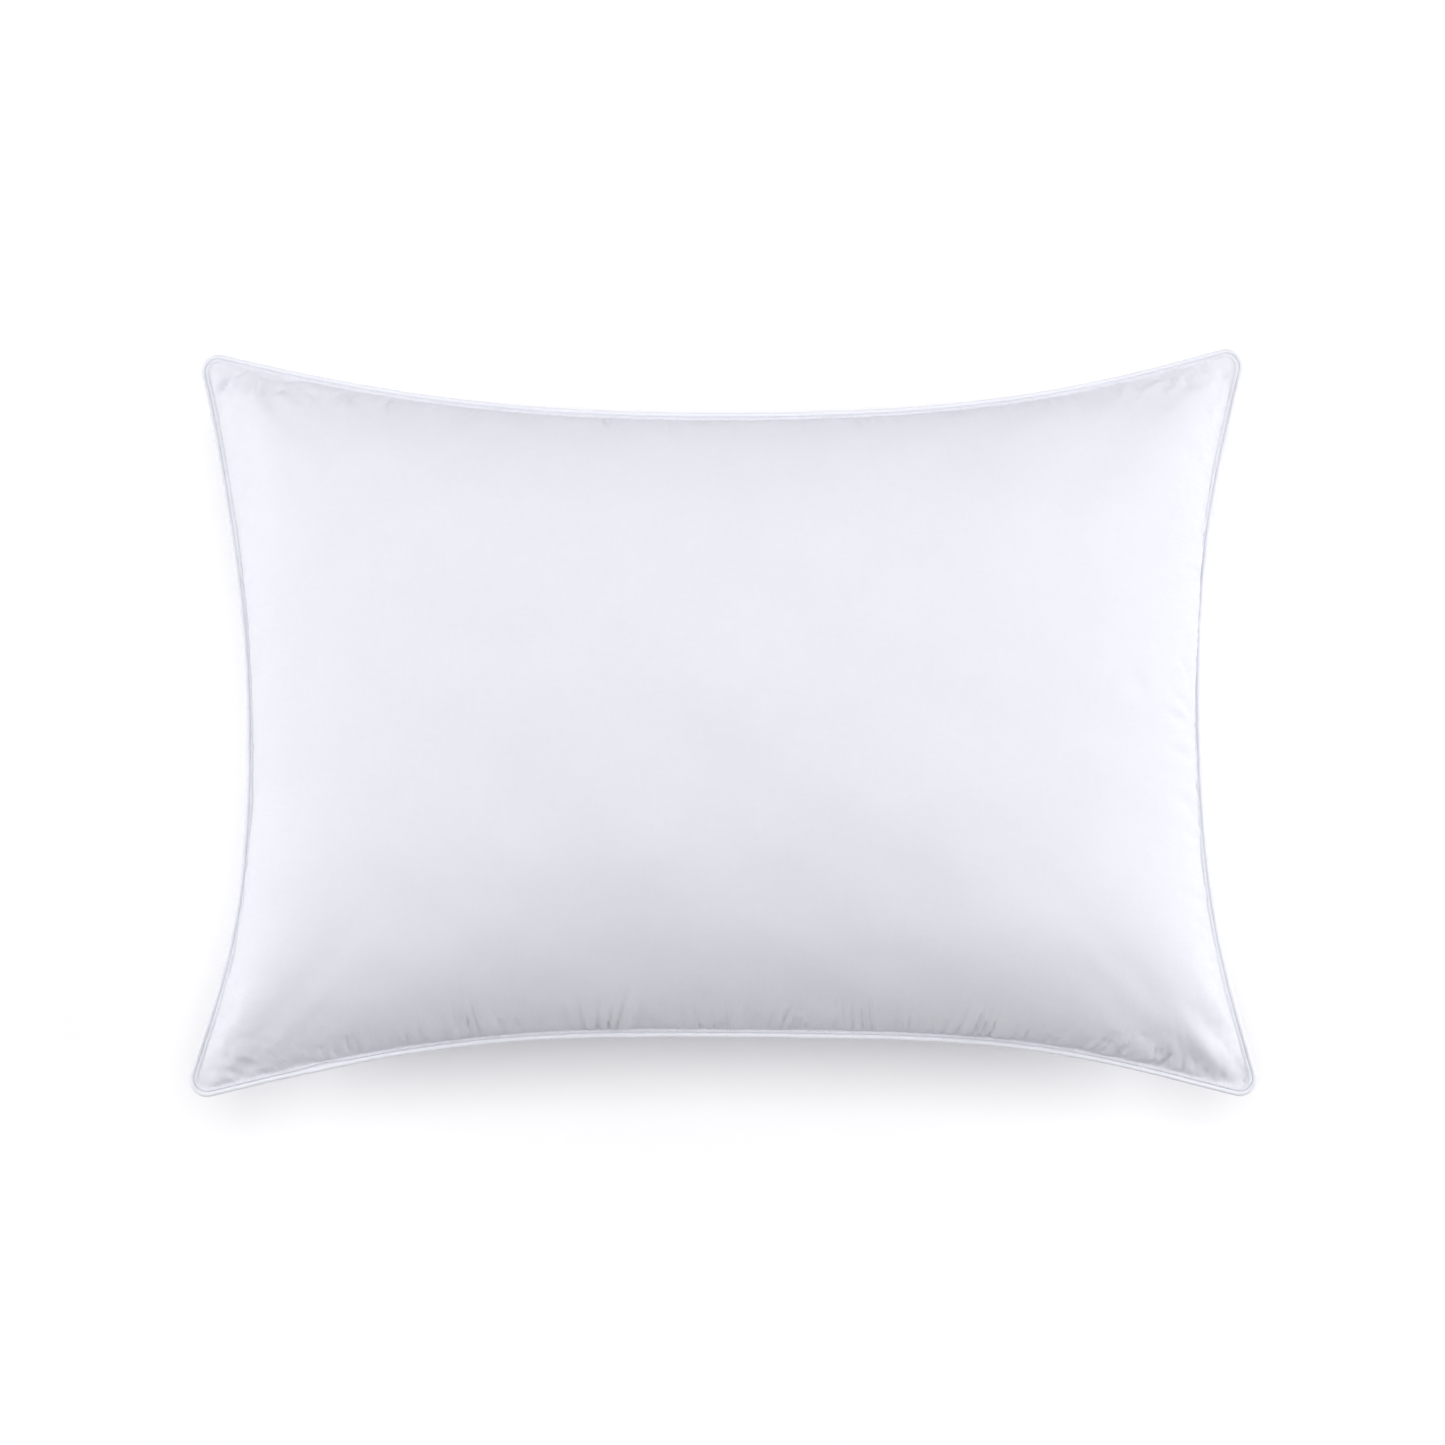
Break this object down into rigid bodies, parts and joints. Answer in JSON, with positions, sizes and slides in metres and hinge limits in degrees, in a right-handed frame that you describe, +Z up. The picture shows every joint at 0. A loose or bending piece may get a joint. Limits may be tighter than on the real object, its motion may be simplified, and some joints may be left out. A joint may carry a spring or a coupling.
{
  "type": "bed pillow",
  "caption": "Rectangular bed pillow with a corded knife edge, sides that pull in between rounded corners, a taut crowned cover and a soft loose filling, lying flat.",
  "frame": {"origin": "middle of the flat resting patch on the underside, at the bottom centre of the box round the whole pillow", "axes": "+X along the long side, +Y along the short side, +Z up through the crown of the upper panel"},
  "size_m": [0.7006, 0.4924, 0.1905],
  "materials": {
    "cover": "fine percale cotton with a faint calendered sheen",
    "piping": "bias-cut cotton over a cord",
    "cord": "twisted cotton filler cord",
    "thread": "spun polyester sewing thread",
    "filling": "loose down and small feathers"
  },
  "bodies": {
    "root": {"top_panel": "cover", "bottom_panel": "cover", "piping_casing": "piping", "piping_cord": "cord", "assembly_needle_thread": "thread", "assembly_bobbin_thread": "thread", "topstitch_needle_thread": "thread", "topstitch_bobbin_thread": "thread", "overlock_thread": "thread", "closing_stitch_thread": "thread", "down_and_feather_fill": "filling"}
  },
  "joints": []
}
